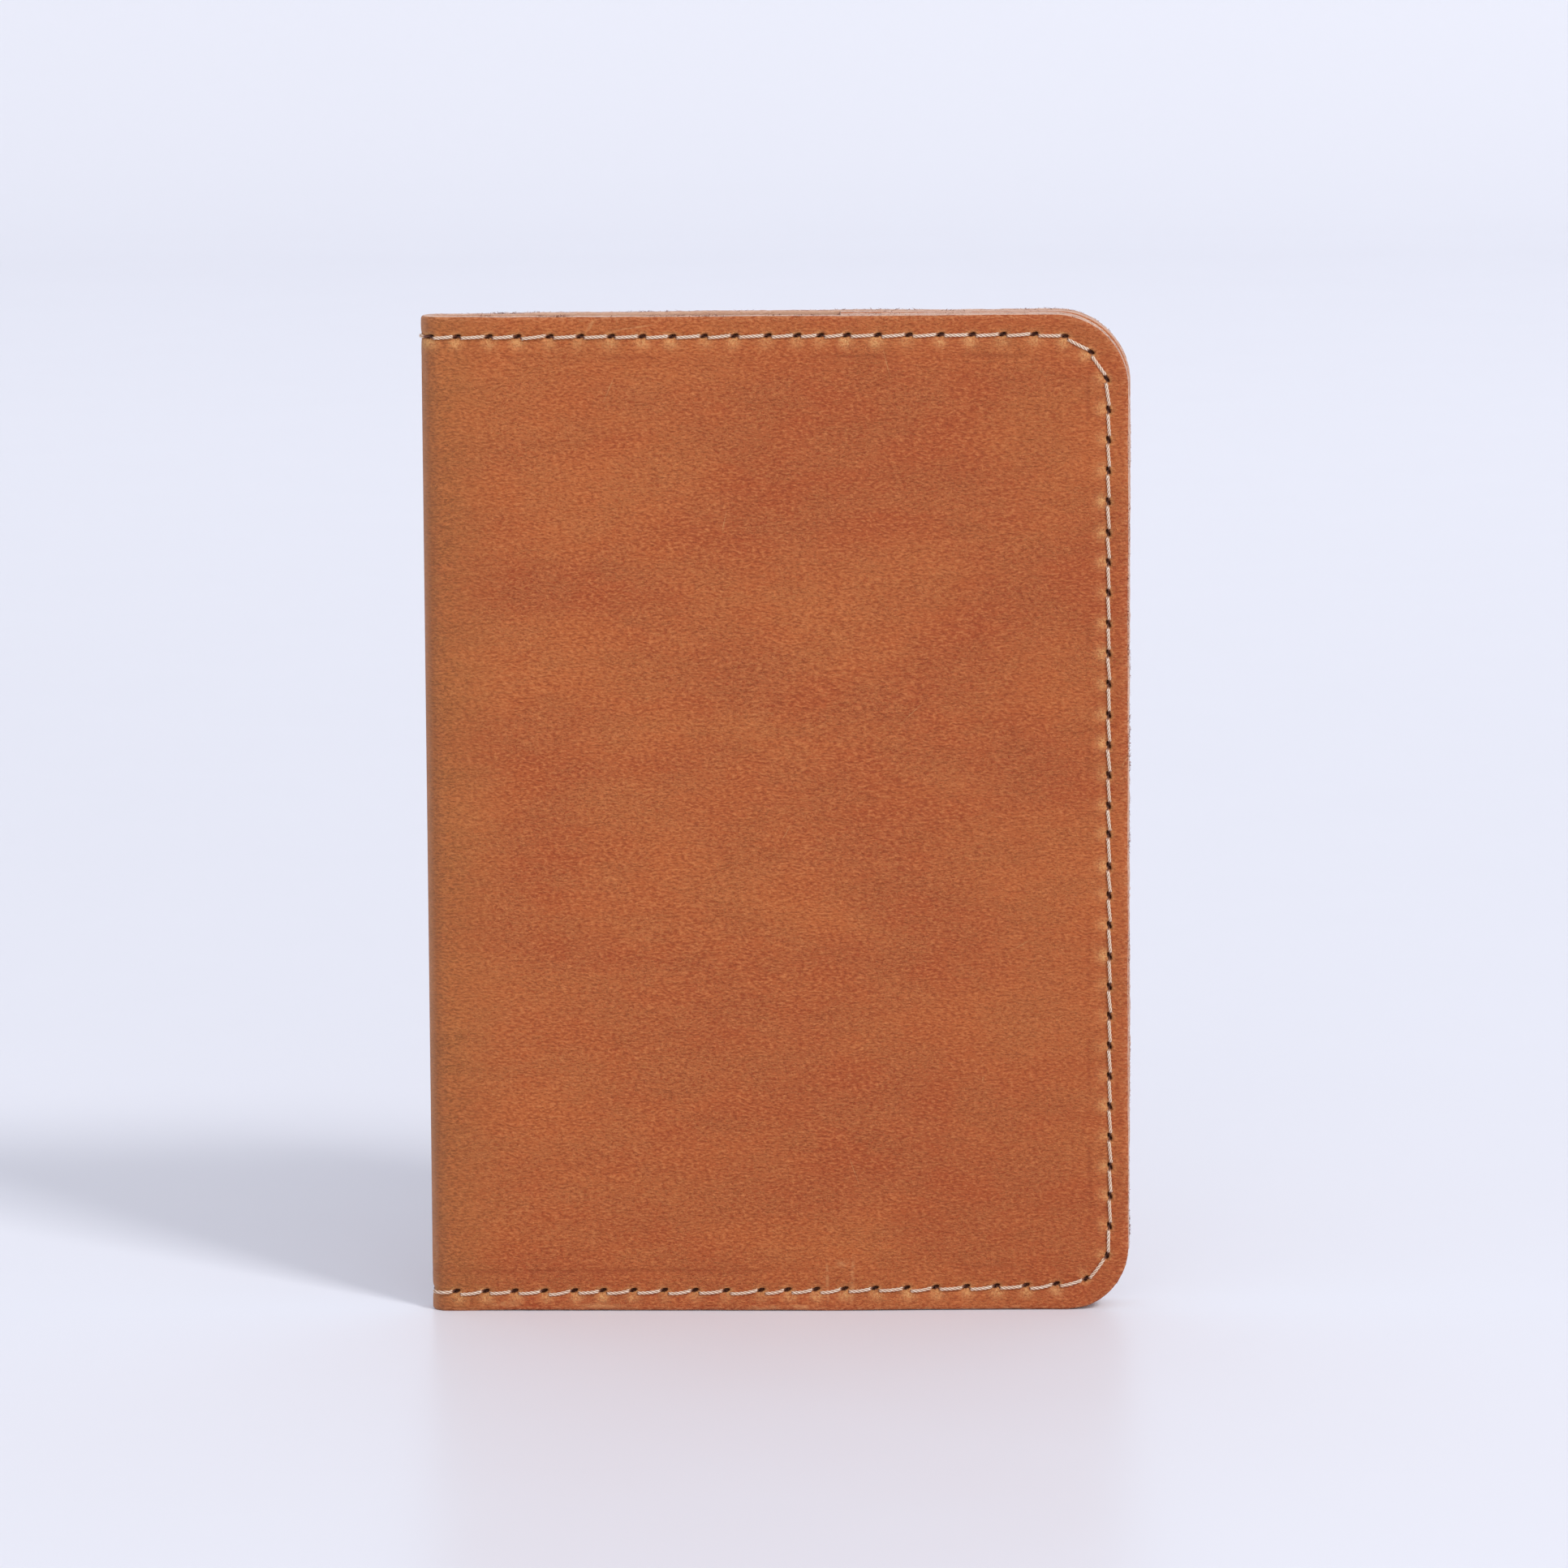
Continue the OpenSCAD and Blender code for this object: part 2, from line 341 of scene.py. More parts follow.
def relief(g, seed, left_edge):
    """How far the grain face lies under its nominal plane.

    Slow waves, the pulled-in stitch row with its holes, the presser foot's line and the rounded rim.
    """
    u, z = g["flat"].T
    fade = smooth(u / 4) if not left_edge else 1.0
    w = (0.085 * noise(u, z, 21, seed) + 0.045 * noise(u, z, 8.5, seed + 1)) * fade
    w = w + 0.012 * noise(u, z, 2.3, seed + 2) * fade
    slit, dimple = hole_shape(g)
    w = w + 0.07 * bump(g["row"], 0.8) + 0.12 * dimple + 0.7 * slit
    w = w - 0.05 * bump(g["row"] + 1.5, 0.8) * smooth(np.abs(g["hole"]) / 2)
    w = w + 0.02 * bump(g["row"] - 3.0, 0.25)
    rim = g["edge"]
    if left_edge:
        rim = np.minimum(rim, u - left_edge)
    return w + 0.24 * np.clip(1 - rim / 0.38, 0, 1) ** 2


def jitter_outline(g, seed, left_edge):
    """How far the outline moves in: a knife-cut edge is never quite straight."""
    u = g["flat"][:, 0]
    share = np.clip(1 - g["edge"] / 1.6, 0, 1)
    s = g["s"]
    fade = 1.0 if left_edge else smooth(u / 4)
    j = (0.07 * noise_along(s, 11, seed + 5) + 0.03 * noise_along(s, 2.1, seed + 6)) * share * fade
    # the covers stand a hair off the floor, on their flaps and the fold
    j = j + (0.0 if left_edge else 0.13) * share * smooth(u / 12) * g["low"]
    return np.where(s < 0, 0, j)


def make_solid(name, cover, left_edge, grow, place, seed, grain_first, spacing=1.35):
    """A leather layer: grain face, flesh face and the raw cut edge between them."""
    g = panel_grid(cover, left_edge, grow, spacing)
    _, normal = cover.frame(np.where(g["s"] >= 0, g["s"], 0.0))
    flat = g["flat"] + normal * jitter_outline(g, seed, left_edge)[:, None]
    flat[:, 1] = np.maximum(flat[:, 1], 0.0)
    count = len(flat)
    grain_w = relief(g, seed, left_edge)
    if left_edge:  # the flaps' cut edges are swollen, so that they nearly meet in the closed case
        grain_w = grain_w - 0.5 * bump(g["edge"], 1.3)
    slit, dimple = hole_shape(g)
    u, z = flat.T
    fade = 1.0 if left_edge else smooth(u / 4)
    flesh_w = LEATHER - 0.05 * noise(u, z, 6, seed + 9) * fade - 0.5 * slit - 0.1 * dimple
    rim = g["edge"] if not left_edge else np.minimum(g["edge"], u - left_edge)
    flesh_w = flesh_w - 0.10 * np.clip(1 - rim / 0.3, 0, 1) ** 2
    verts = [np.stack([u, grain_w, z], 1), np.stack([u, flesh_w, z], 1)]
    faces = [list(f) for f in g["faces"]]
    kinds = [0] * len(faces)
    faces += [[count + i for i in f[::-1]] for f in g["faces"]]
    kinds += [2] * (len(faces) - len(kinds))
    # the cut edge, with a fibrous surface
    ring = np.array(g["ring"])
    rp, nrm = flat[ring], normal[ring]
    if left_edge:
        on_left = np.arange(len(ring)) >= len(cover.columns(left_edge))
        nrm[on_left] = (1, 0)
    mark = np.cumsum(np.r_[0, np.hypot(*np.diff(rp, axis=0).T)])
    clump = smooth(2.5 * noise_along(mark, 3.2, seed + 22))
    band_at = 2 * count
    level = [ring]
    for k, f in enumerate(np.arange(1, EDGE_ROWS) / EDGE_ROWS):
        w = grain_w[ring] * (1 - f) + flesh_w[ring] * f
        depth = np.full_like(mark, f * LEATHER)
        out = 0.05 * (1 - (2 * f - 1) ** 2) + 0.035 * noise(mark, depth, 0.5, seed + 20)
        out = out + 0.03 * noise(mark, depth, 0.22, seed + 21)
        tuft = 0.3 + 0.7 * noise(mark, np.full_like(mark, f), 0.45, seed + 23)
        out = out + 0.16 * math.sin(f * math.pi) * f * clump * tuft
        if not left_edge:
            out = out * (0.3 + 0.7 * smooth(rp[:, 0] / 3))
        p = rp - nrm * out[:, None]
        p[:, 1] = np.maximum(p[:, 1], 0.0)
        verts.append(np.stack([p[:, 0], w, p[:, 1]], 1))
        level.append(band_at + k * len(ring) + np.arange(len(ring)))
    level.append(ring + count)
    n = len(ring)
    for a, b in zip(level[:-1], level[1:]):
        for i in range(n if g["closed"] else n - 1):
            j = (i + 1) % n
            faces.append([int(a[j]), int(a[i]), int(b[i]), int(b[j])][::-1])
            kinds.append(1)
    flat3 = np.concatenate(verts)
    if not grain_first:
        faces = [f[::-1] for f in faces]
    # masks for the material, 0 off the grain face's stitch row
    extra = len(flat3) - count
    below = np.where(g["low"], -0.7, 0.7)
    shift = 0.25 * noise_along(g["s"], 6.0, seed + 31)
    halo = 0.8 * bump(np.hypot((g["hole"] + 0.15 + shift) / 0.95, (g["row"] - 1.15 * below) / 0.85), 1.0)
    halo = halo * (0.8 + 0.5 * noise_along(g["s"], 4.3, seed + 30))
    halo = np.maximum(halo, 1.1 * bump(np.hypot(g["hole"] / 0.85, g["row"] / 0.52), 1.0))
    masks = {
        # hole: where painted shade darkens the needle holes, on both faces
        "hole": np.r_[slit, slit, np.zeros(extra - count)],
        "halo": np.r_[np.clip(halo, 0, 1), np.zeros(extra)],
        "track": np.r_[bump(g["row"] - 2.95, 0.22), np.zeros(extra)],
        "rim": np.r_[np.clip(1 - rim / 0.7, 0, 1), np.ones(extra)],
    }
    return make_object(name, flat3, faces, place, masks, kinds)


def make_object(name, flat3, faces, place, masks=None, kinds=None):
    mesh = bpy.data.meshes.new(name)
    mesh.from_pydata((flat3 * MM).tolist(), [], faces)
    obj = bpy.data.objects.new(name, mesh)
    bpy.context.scene.collection.objects.link(obj)
    mesh.polygons.foreach_set("use_smooth", [True] * len(mesh.polygons))
    if kinds is not None:
        mesh.polygons.foreach_set("material_index", kinds)
    for key, values in (masks or {}).items():
        mesh.attributes.new(key, "FLOAT", "POINT").data.foreach_set("value", values.astype(np.float32))
    if place["bends"]:
        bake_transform(obj)
    closed = place["map"](flat3)
    mesh.vertices.foreach_set("co", (closed * MM).astype(np.float32).ravel())
    # pattern coordinates run on over the fold from one cover to the other
    u = flat3[:, 0]
    along = np.where(u < ARC, u * R_OUT / BEND, u - ARC + R_OUT * math.pi / 2) if place["bends"] else u
    coords = np.stack([along * place["sign"], flat3[:, 2], flat3[:, 1]], 1)
    pattern = mesh.attributes.new("flat", "FLOAT_VECTOR", "POINT")
    pattern.data.foreach_set("vector", coords.astype(np.float32).ravel())
    mesh.update()
    if not place["bends"]:
        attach(obj, place["body"])
    return obj


# ---------------------------------------------------------------- thread
def thread_row(name, cover, place, slant, radius, proud, dive, sag, strands, sides, seed):
    """Three-ply stitches between the holes. Height is measured off the face that they lie on."""
    points, normals = cover.row_point(cover.holes)
    last = len(cover.holes) - 1
    pairs = [(-1, 0)] + [(i, i + 1) for i in range(last)]
    rng = np.random.default_rng(seed)
    verts, faces, core = [], [], []
    ring = np.linspace(0, 2 * math.pi, sides, endpoint=False)
    for a, b in pairs:
        phase = rng.random() * 6.28
        wobble = 1 + 0.2 * rng.normal()
        half = a < 0  # this stitch wraps round the fold: the other cover has its other half
        pa = np.array([0.0, points[0][1]]) if half else points[a]
        pb = points[b]
        chord = pb - pa
        length = np.hypot(*chord)
        t = np.linspace(0, 1, strands // 2 if half else strands)
        full = 0.5 + t / 2 if half else t
        span = 2 * length if half else length
        near = np.minimum(full, 1 - full) * span
        height = -dive + (dive + proud) * smooth((near - 0.12) / 0.62)
        low = normals[b][1] > 0.5
        inward = slant * (0.24 if low else 0.17) * wobble * (1 - 2 * full)
        drop = sag * (1.0 if low else 0.2) * (0.5 + wobble * np.sin(full * math.pi)) * smooth(near / 0.5)
        if half or b == last:
            drop = drop * np.clip(t if half else 1 - t, 0, 1)
        centre = pa + chord * t[:, None] + normals[b] * inward[:, None] - np.array([0.0, 1.0]) * drop[:, None]
        rise = full if chord.sum() > 0 else 1 - full
        height = height - 0.12 * (1 - rise) ** 1.5 * smooth(near / 0.4)
        twist = slant * 2 * math.pi / PLY_TURN * t * length + (0.0 if half else phase)
        across = np.array([-chord[1], chord[0]]) / length
        thick = radius * (0.82 + 0.12 * smooth(near / 0.9) + 0.08 * rise)
        for ply in range(3):
            ang = twist + ply * 2 * math.pi / 3
            lat = np.cos(ang)[:, None] * 0.53 * thick[:, None] + 0.50 * thick[:, None] * np.cos(ring)
            up = np.sin(ang)[:, None] * 0.48 * thick[:, None] + 0.46 * thick[:, None] * np.sin(ring)
            start = sum(len(v) for v in verts)
            verts.append(np.stack([
                (centre[:, :1] + across[0] * lat).ravel(),
                (height[:, None] + up).ravel(),
                (centre[:, 1:] + across[1] * lat).ravel()], 1))
            # painted shade for the thread: darker in the grooves between the plies, where it dives under the
            # face, and at each stitch's low end, which faces away from the key light
            deep = np.clip(-height[:, None] / 0.3, 0, 1) + 0.12 * (1 - rise[:, None]) ** 2
            core.append(np.clip(1 - np.hypot(lat, up) / thick[:, None] + deep, 0, 1).ravel())
            k = np.arange(len(t) * sides).reshape(len(t), sides) + start
            nxt = np.roll(k, -1, axis=1)
            faces += np.stack([k[:-1], k[1:], nxt[1:], nxt[:-1]], -1).reshape(-1, 4).tolist()
            if not half:
                faces.append(k[0].tolist())
            faces.append(k[-1][::-1].tolist())
    flat = np.concatenate(verts)
    return make_object(name, flat, faces, place, {"core": np.concatenate(core)})


def fuzz(name, cover, u_from, grow, place, count, seed):
    """Loose fibres that stand out of a raw cut edge, in clumps."""
    rng = np.random.default_rng(seed)
    verts, faces = [], []
    at = rng.random(count * 3) * cover.length
    keep = rng.random(count * 3) < 0.04 + 0.9 * smooth(noise_along(at, 5.0, seed) * 1.6)
    at = at[keep][:count]
    points, normals = cover.frame(at)
    ok = (points[:, 0] > max(u_from, 4.5)) & ((points[:, 1] > 3) | (normals[:, 0] < -0.5))
    side = smooth((at - cover.top) / cover.arcs[0])
    for p, n, sd in zip(points[ok], normals[ok], side[ok]):
        out = -n
        run = np.array([n[1], -n[0]])
        size = 0.09 + 0.22 * rng.random() ** 2.2
        w0 = LEATHER * (0.12 + 0.76 * rng.random())
        lean, tilt, curl = rng.normal(0, 1.3), rng.normal(0, 0.7), rng.normal(0, 1.2)
        width = 0.04 + 0.06 * rng.random()
        base = p + out * (grow[0] + (grow[1] - grow[0]) * sd - 0.06)
        start = len(verts)
        for j in range(4):
            f = j / 3
            c = base + (out * f + run * (lean * f + curl * f * f)) * size
            w = w0 + tilt * f * size
            r = width * (1 - 0.6 * f)
            for q in range(3):
                o = run * r * math.cos(q * 2.094)
                verts.append((c[0] + o[0], w + r * math.sin(q * 2.094), c[1] + o[1]))
        for j in range(3):
            for q in range(3):
                a, b = start + 3 * j + q, start + 3 * j + (q + 1) % 3
                faces.append([a, b, b + 3, a + 3])
        faces += [[start + 2, start + 1, start], [start + 9, start + 10, start + 11]]
    return make_object(name, np.array(verts), faces, place)


# ---------------------------------------------------------------- materials
def material(name):
    m = bpy.data.materials.new(name)
    m.use_nodes = True
    t = m.node_tree
    t.nodes.clear()
    out = t.nodes.new("ShaderNodeOutputMaterial")
    b = t.nodes.new("ShaderNodeBsdfPrincipled")
    t.links.new(b.outputs[0], out.inputs[0])
    return m, t, b


def node(t, kind, **values):
    """A node. _name sets a property, iN the input number N, and any other name the input of that name."""
    n = t.nodes.new(kind)
    for key, v in values.items():
        if key.startswith("_"):
            setattr(n, key[1:], v)
        else:
            numbered = key[0] == "i" and key[1:].isdigit()
            socket = n.inputs[int(key[1:]) if numbered else key.replace("_", " ")]
            if isinstance(v, bpy.types.NodeSocket):
                t.links.new(v, socket)
            else:
                socket.default_value = v
    return n


def flat_coords(t):
    """Coordinates in mm along the flat leather: across, up and into it."""
    return node(t, "ShaderNodeAttribute", _attribute_name="flat").outputs["Vector"]


def mask(t, name):
    return node(t, "ShaderNodeAttribute", _attribute_name=name).outputs["Fac"]


def scaled(t, vec, scale, turn=0.0, move=(0, 0, 0)):
    """Pattern coordinates for a noise: scale says how many of its features fit in 1 mm."""
    return node(t, "ShaderNodeMapping", Vector=vec, Location=move, Rotation=(0, 0, turn),
                Scale=scale).outputs[0]


def noise_tex(t, vec, scale, detail=2.0, rough=0.5, warp=0.0):
    """A noise of about 0 to 1, centred on a half."""
    return node(t, "ShaderNodeTexNoise", Vector=vec, Scale=scale, Detail=detail, Roughness=rough,
                Distortion=warp).outputs[0]


def remap(t, value, lo, hi, a=0.0, b=1.0, shape="SMOOTHSTEP"):
    return node(t, "ShaderNodeMapRange", _interpolation_type=shape, i0=value, i1=lo, i2=hi, i3=a,
                i4=b).outputs[0]


def math_(t, op, a, b=0.0, **third):
    return node(t, "ShaderNodeMath", _operation=op, i0=a, i1=b, **third).outputs[0]


def times(t, a, b):
    return math_(t, "MULTIPLY", a, b)


def near_half(t, value, width):
    """Thin lines along which a noise is close to a half."""
    return remap(t, math_(t, "ABSOLUTE", math_(t, "SUBTRACT", value, 0.5)), width, 0.0)


def mix(t, fac, a, b):
    n = t.nodes.new("ShaderNodeMix")
    n.data_type = "RGBA"
    for i, v in ((0, fac), (6, a), (7, b)):
        if isinstance(v, bpy.types.NodeSocket):
            t.links.new(v, n.inputs[i])
        else:
            n.inputs[i].default_value = v if i == 0 else (*v, 1.0)
    return n.outputs[2]


def srgb(r, g, b):
    """A colour as it shows on a screen, in the linear numbers that the shader takes."""
    return tuple(((c / 255 + 0.055) / 1.055) ** 2.4 for c in (r, g, b))


def tones(**colours):
    return {key: srgb(*colour) for key, colour in colours.items()}


def mark(t, vec, x, z, angle, length, width):
    """A short soft streak at a place on the leather."""
    local = node(t, "ShaderNodeMapping", _vector_type="TEXTURE", Vector=vec, Location=(x, z, 0),
                 Rotation=(0, 0, math.radians(angle)), Scale=(length / 2, width / 2, 20)).outputs[0]
    far = node(t, "ShaderNodeVectorMath", _operation="LENGTH", i0=local).outputs["Value"]
    return remap(t, far, 1.0, 0.2)


def marks(t, vec, places):
    """All the streaks of a list as one mask."""
    total = None
    for place in places:
        one = mark(t, vec, *place)
        total = one if total is None else math_(t, "MAXIMUM", total, one)
    return total


def surface(t, b, color, rough, specular, height, strength, distance):
    """Wires colour, roughness, gloss and a bump into the shader. A height of None leaves the bump out."""
    t.links.new(color, b.inputs["Base Color"])
    t.links.new(rough, b.inputs["Roughness"])
    b.inputs["Specular IOR Level"].default_value = specular
    if height is not None:
        bumped = node(t, "ShaderNodeBump", Strength=strength, Distance=distance, Height=height)
        t.links.new(bumped.outputs[0], b.inputs["Normal"])


# across, height, angle in degrees, length and width of scratches and rubbed spots.
# Places across that are negative are on the back cover.
SCRATCHES = [
    (24.7, 138.7, 57, 3.0, 0.7), (30.5, 138.4, 8, 8.0, 0.35), (35.5, 137.6, -4, 5.0, 0.3),
    (65.4, 133.6, -76, 6.0, 0.22), (68.9, 84.8, 43, 5.5, 0.25), (98.2, 77.6, 63, 3.2, 0.25),
    (78.5, 33.0, 80, 1.0, 0.35), (27.2, 129.9, 66, 5.5, 0.2), (43.0, 111.6, 78, 4.0, 0.22),
    (51.2, 67.8, 60, 3.0, 0.25), (60.5, 20.0, -70, 6.0, 0.2), (84.0, 52.0, 30, 4.0, 0.2),
    (-30.0, 96.0, 35, 9.0, 0.25), (-62.0, 41.0, -50, 6.0, 0.25), (-80.0, 118.0, 70, 5.0, 0.3),
    (-47.0, 73.0, 12, 4.0, 0.3),
]
RUBS = [
    (11.5, 1.0, 0, 6.0, 1.3), (25.0, 0.8, 0, 9.0, 1.2), (48.0, 0.5, 0, 6.0, 1.3), (53.0, 0.6, 0, 7.0, 1.1),
    (56.7, 4.0, 92, 9.0, 0.7), (60.2, 4.5, 88, 9.0, 1.0), (58.8, 6.9, 10, 2.6, 1.8),
    (88.5, 2.6, -45, 4.0, 1.6), (-36.0, 1.0, 0, 9.0, 1.4), (-79.0, 139.0, 0, 8.0, 1.3),
]


def grain_leather(name, shift, worn):
    """The waxed grain face. shift moves the pattern, and worn says how far the rim is rubbed pale."""
    m, t, b = material(name)
    tone = tones(
        dark=(165, 76, 36), light=(179, 93, 45), patch_light=(191, 109, 59), patch_dark=(156, 67, 31),
        fleck=(197, 115, 64), pore=(132, 55, 25), skin=(208, 130, 76), crease=(206, 130, 77),
        scratch=(216, 152, 98), rub=(206, 142, 92), free_edge=(154, 68, 34), fold=(166, 103, 54),
        fold_speck=(116, 68, 38), fold_worn=(158, 106, 74), fold_crest=(208, 148, 108),
        halo=(224, 166, 106), track=(146, 66, 32), rim=(200, 138, 98), hole=(58, 26, 17), torn=(124, 66, 44),
    )
    vec = node(t, "ShaderNodeVectorMath", _operation="ADD", i0=flat_coords(t), i1=shift).outputs[0]
    across = math_(t, "ABSOLUTE", node(t, "ShaderNodeSeparateXYZ", Vector=vec).outputs[0])
    # the grain's creases wander, so everything fine is read through a warped copy of the coordinates
    bend = node(t, "ShaderNodeTexNoise", Vector=scaled(t, vec, (0.22, 0.35, 0.3)), Scale=1.0, Detail=2.0)
    bend = node(t, "ShaderNodeVectorMath", _operation="MULTIPLY_ADD", i0=bend.outputs["Color"],
                i1=(1.0, 1.0, 0), i2=vec).outputs[0]
    big = noise_tex(t, scaled(t, vec, (0.022, 0.045, 0.02), 0.25), 1.0, 3.0, 0.55, 0.5)
    mid = noise_tex(t, scaled(t, vec, (0.08, 0.19, 0.1), 0.1), 1.0, 4.0, 0.6, 0.6)
    small = noise_tex(t, scaled(t, bend, (0.42, 1.1, 0.5), 0.04), 1.0, 4.0, 0.62, 0.3)
    fine = noise_tex(t, scaled(t, bend, (1.6, 3.5, 3.0), -0.12), 1.0, 2.0, 0.55, 0.2)
    wave = noise_tex(t, scaled(t, bend, (1.3, 2.5, 1.0), -0.1), 1.0, 2.0, 0.55, 0.6)
    color = mix(t, remap(t, big, 0.36, 0.66), tone["dark"], tone["light"])
    color = mix(t, remap(t, mid, 0.45, 0.75, 0.0, 0.22), color, tone["patch_light"])
    color = mix(t, remap(t, mid, 0.45, 0.25, 0.0, 0.20), color, tone["patch_dark"])
    color = mix(t, remap(t, small, 0.5, 0.78, 0.0, 0.32), color, tone["fleck"])
    # fine creases: thin pale lines with darker skin between them, stronger in some places
    line, thin = near_half(t, wave, 0.07), near_half(t, fine, 0.08)
    where = noise_tex(t, scaled(t, vec, (0.10, 0.16, 0.1), 0, (3, 7, 0)), 1.0, 3.0, 0.6)
    where = remap(t, where, 0.36, 0.62, 0.25, 1.0)
    grain = times(t, math_(t, "MAXIMUM", line, times(t, thin, 0.6)), where)
    color = mix(t, remap(t, fine, 0.50, 0.38, 0.0, 0.50), color, tone["pore"])
    color = mix(t, remap(t, fine, 0.52, 0.64, 0.0, 0.44), color, tone["skin"])
    color = mix(t, times(t, grain, 0.45), color, tone["crease"])
    scratch = times(t, marks(t, vec, SCRATCHES), remap(t, fine, 0.3, 0.6, 0.35, 1.0))
    color = mix(t, times(t, scratch, 0.6), color, tone["scratch"])
    rub = times(t, marks(t, vec, RUBS), remap(t, small, 0.35, 0.6))
    color = mix(t, times(t, rub, 0.6), color, tone["rub"])
    # the free edge is redder, and the fold is yellower and duller, with a painted greyish sheen where it
    # turns away and a painted pale highlight along its crest
    color = mix(t, remap(t, across, 48.0, 98.0, 0.0, 0.14), color, tone["free_edge"])
    near_fold = times(t, remap(t, across, 15.0, 2.0, 0.0, 0.55), remap(t, small, 0.3, 0.7, 0.6, 1.0))
    color = mix(t, near_fold, color, tone["fold"])
    speckle = times(t, remap(t, across, 9.0, 3.0, 0.0, 0.36), remap(t, fine, 0.52, 0.40))
    color = mix(t, speckle, color, tone["fold_speck"])
    # painted light: a greyish sheen where the fold turns away, and a pale highlight on its crest, standing in
    # for the backdrop's reflection
    color = mix(t, remap(t, across, 4.5, 1.5, 0.0, 0.35), color, tone["fold_worn"])
    color = mix(t, remap(t, across, 2.6, 1.0, 0.0, 0.5), color, tone["fold_crest"])
    # wax driven out round the needle holes, and the line that the presser foot left
    crease = noise_tex(t, scaled(t, vec, (3.4, 2.4, 2.0), 0.15), 1.0, 3.0, 0.65, 0.8)
    color = mix(t, times(t, mask(t, "halo"), remap(t, crease, 0.38, 0.60, 0.25, 1.0)), color, tone["halo"])
    patchy = noise_tex(t, scaled(t, vec, (0.08, 0.08, 0.1), 0, (5, 9, 0)), 1.0, 1.0)
    track = times(t, mask(t, "track"), remap(t, patchy, 0.42, 0.6, 0.0, 0.5))
    color = mix(t, track, color, tone["track"])
    # the rubbed rim, and painted shade in the ragged needle holes
    color = mix(t, times(t, mask(t, "rim"), remap(t, fine, 0.4, 0.7, worn, 0.5 + worn)), color, tone["rim"])
    hole = mask(t, "hole")
    ragged = noise_tex(t, scaled(t, vec, (5.5, 5.5, 3.0), 0, (2, 5, 1)), 1.0, 2.0, 0.6)
    torn = math_(t, "ADD", hole, math_(t, "MULTIPLY_ADD", ragged, 0.9, i2=-0.45))
    torn = times(t, remap(t, torn, 0.25, 0.6), remap(t, hole, 0.02, 0.3, 0.0, 0.95))
    color = mix(t, torn, color, mix(t, remap(t, ragged, 0.42, 0.62), tone["hole"], tone["torn"]))
    rough = math_(t, "ADD", remap(t, small, 0.3, 0.7, 0.52, 0.62, "LINEAR"), times(t, scratch, 0.1))
    h = math_(t, "ADD", times(t, fine, 0.9), times(t, wave, 0.8))
    h = math_(t, "SUBTRACT", h, times(t, grain, 0.25))
    h = math_(t, "ADD", h, times(t, small, 0.6))
    h = math_(t, "SUBTRACT", h, times(t, track, 0.5))
    h = math_(t, "SUBTRACT", h, times(t, scratch, 0.3))
    surface(t, b, color, rough, 0.22, h, 1.0, 0.0002)
    return m


def raw_edge(name):
    """The cut edge: pale fibres with dark specks, looser and darker towards the flesh side."""
    m, t, b = material(name)
    tone = tones(
        shade=(196, 148, 122), fibre=(226, 188, 164), patch=(206, 160, 140), gap=(126, 70, 52),
        speck=(132, 72, 56), flesh=(168, 112, 88), grain=(190, 120, 78),
    )
    vec = flat_coords(t)
    into = node(t, "ShaderNodeSeparateXYZ", Vector=vec).outputs[2]
    fibre = noise_tex(t, scaled(t, vec, (3.0, 3.0, 6.0)), 1.0, 4.0, 0.7, 0.6)
    patch = noise_tex(t, scaled(t, vec, (0.5, 0.5, 1.5)), 1.0, 3.0, 0.6)
    color = mix(t, remap(t, fibre, 0.35, 0.65), tone["shade"], tone["fibre"])
    color = mix(t, remap(t, patch, 0.5, 0.7, 0.0, 0.5), color, tone["patch"])
    color = mix(t, remap(t, fibre, 0.40, 0.28, 0.0, 0.85), color, tone["gap"])
    speck = noise_tex(t, scaled(t, vec, (1.6, 1.6, 3.5), 0, (4, 2, 9)), 1.0, 3.0, 0.7)
    clump = noise_tex(t, scaled(t, vec, (0.22, 0.22, 0.2), 0, (1, 8, 3)), 1.0, 2.0)
    speck = times(t, remap(t, speck, 0.50, 0.58), remap(t, clump, 0.42, 0.52))
    color = mix(t, times(t, speck, 0.75), color, tone["speck"])
    loose = times(t, remap(t, into, 0.7, 1.5), remap(t, patch, 0.42, 0.62, 0.0, 0.7))
    color = mix(t, loose, color, tone["flesh"])
    color = mix(t, remap(t, into, 0.32, 0.2, 0.0, 0.5), color, tone["grain"])
    surface(t, b, color, remap(t, fibre, 0.2, 0.8, 0.78, 0.95, "LINEAR"), 0.2, fibre, 0.8, 0.00012)
    b.inputs["Sheen Weight"].default_value = 0.25
    b.inputs["Sheen Roughness"].default_value = 0.6
    return m


